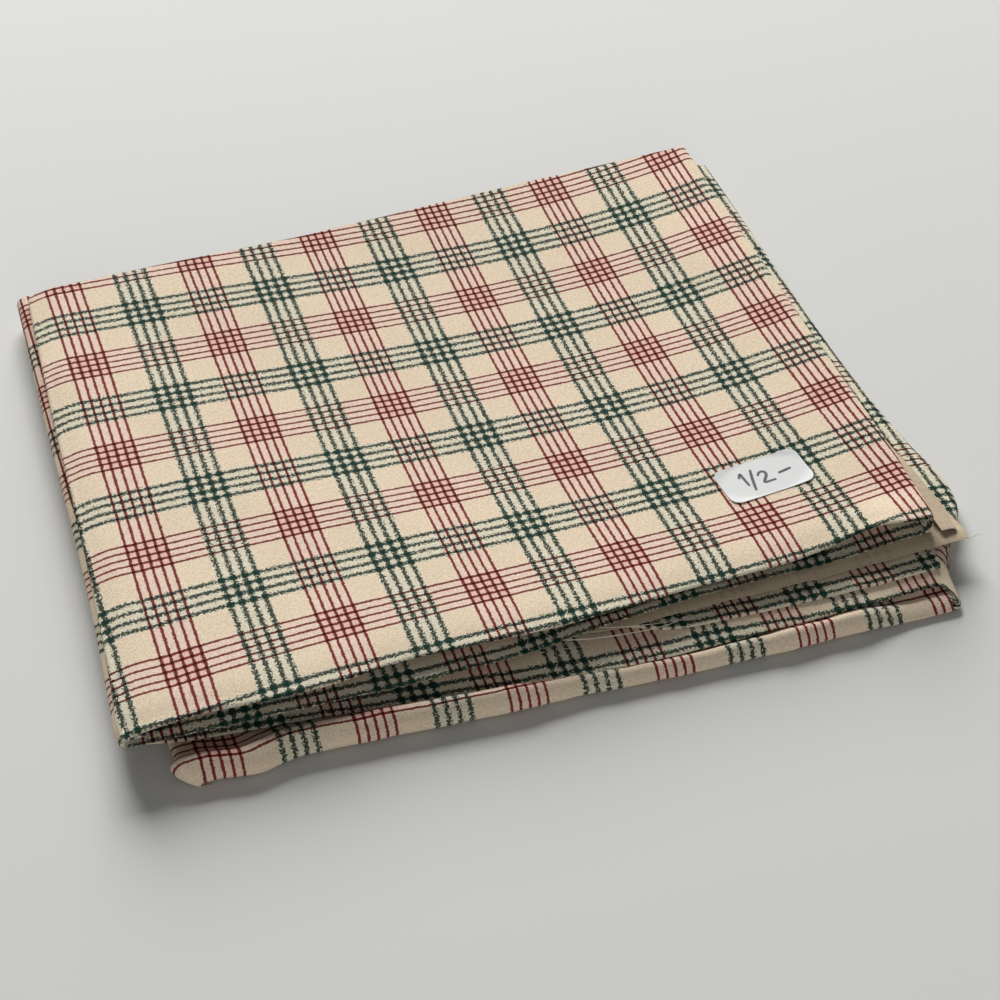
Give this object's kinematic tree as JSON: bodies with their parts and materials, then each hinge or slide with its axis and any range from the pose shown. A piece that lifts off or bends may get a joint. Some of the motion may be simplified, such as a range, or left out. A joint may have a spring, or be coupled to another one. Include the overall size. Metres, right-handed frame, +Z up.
{
  "type": "folded cotton fabric cut",
  "caption": "Half-yard cut of plaid quilting cotton, doubled and folded like an accordion into a flat bundle, with a small paper size label.",
  "frame": {"origin": "middle of the bundle's box, on the surface it lies on", "axes": "+X along the long side to the right, +Y from the folded front edge to the cut back edge, +Z up"},
  "size_m": [0.3028, 0.2598, 0.0184],
  "materials": {
    "printed_cotton": "woven quilting cotton, cream, printed with a red and green windowpane plaid",
    "plain_cotton_side": "unprinted wrong side of the cotton, plain beige weave",
    "cotton_thread": "loose single cotton threads",
    "label_paper": "smooth white sticker paper with pen strokes"
  },
  "bodies": {
    "bottom_leaf": {"bottom_lower_layer": "printed_cotton", "bottom_upper_layer": "printed_cotton", "bottom_front_roll": "printed_cotton", "right_lower_fold": "printed_cotton"},
    "second_leaf": {"second_lower_layer": "printed_cotton", "second_upper_layer": "printed_cotton", "second_front_fold": "printed_cotton", "left_fold": "printed_cotton", "turned_back_edge": "plain_cotton_side", "loose_thread_front": "cotton_thread", "loose_thread_corner": "cotton_thread"},
    "third_leaf": {"third_lower_layer": "printed_cotton", "third_upper_layer": "printed_cotton", "third_front_fold": "printed_cotton", "right_upper_fold": "printed_cotton"},
    "top_leaf": {"top_lower_layer": "printed_cotton", "top_upper_layer": "printed_cotton", "top_front_fold": "printed_cotton", "top_turned_end": "printed_cotton", "size_label": "label_paper"}
  },
  "joints": [
    {"name": "second_leaf_hinge", "type": "hinge", "parent": "bottom_leaf", "child": "second_leaf", "pos_m": [0.1528, 0, 0.0092], "axis": [0, 1, 0], "range_deg": [0, 180]},
    {"name": "third_leaf_hinge", "type": "hinge", "parent": "second_leaf", "child": "third_leaf", "pos_m": [-0.1528, 0, 0.0092], "axis": [0, -1, 0], "range_deg": [0, 180]},
    {"name": "top_leaf_hinge", "type": "hinge", "parent": "third_leaf", "child": "top_leaf", "pos_m": [0.1436, 0, 0.0092], "axis": [0, 1, 0], "range_deg": [0, 180]}
  ]
}
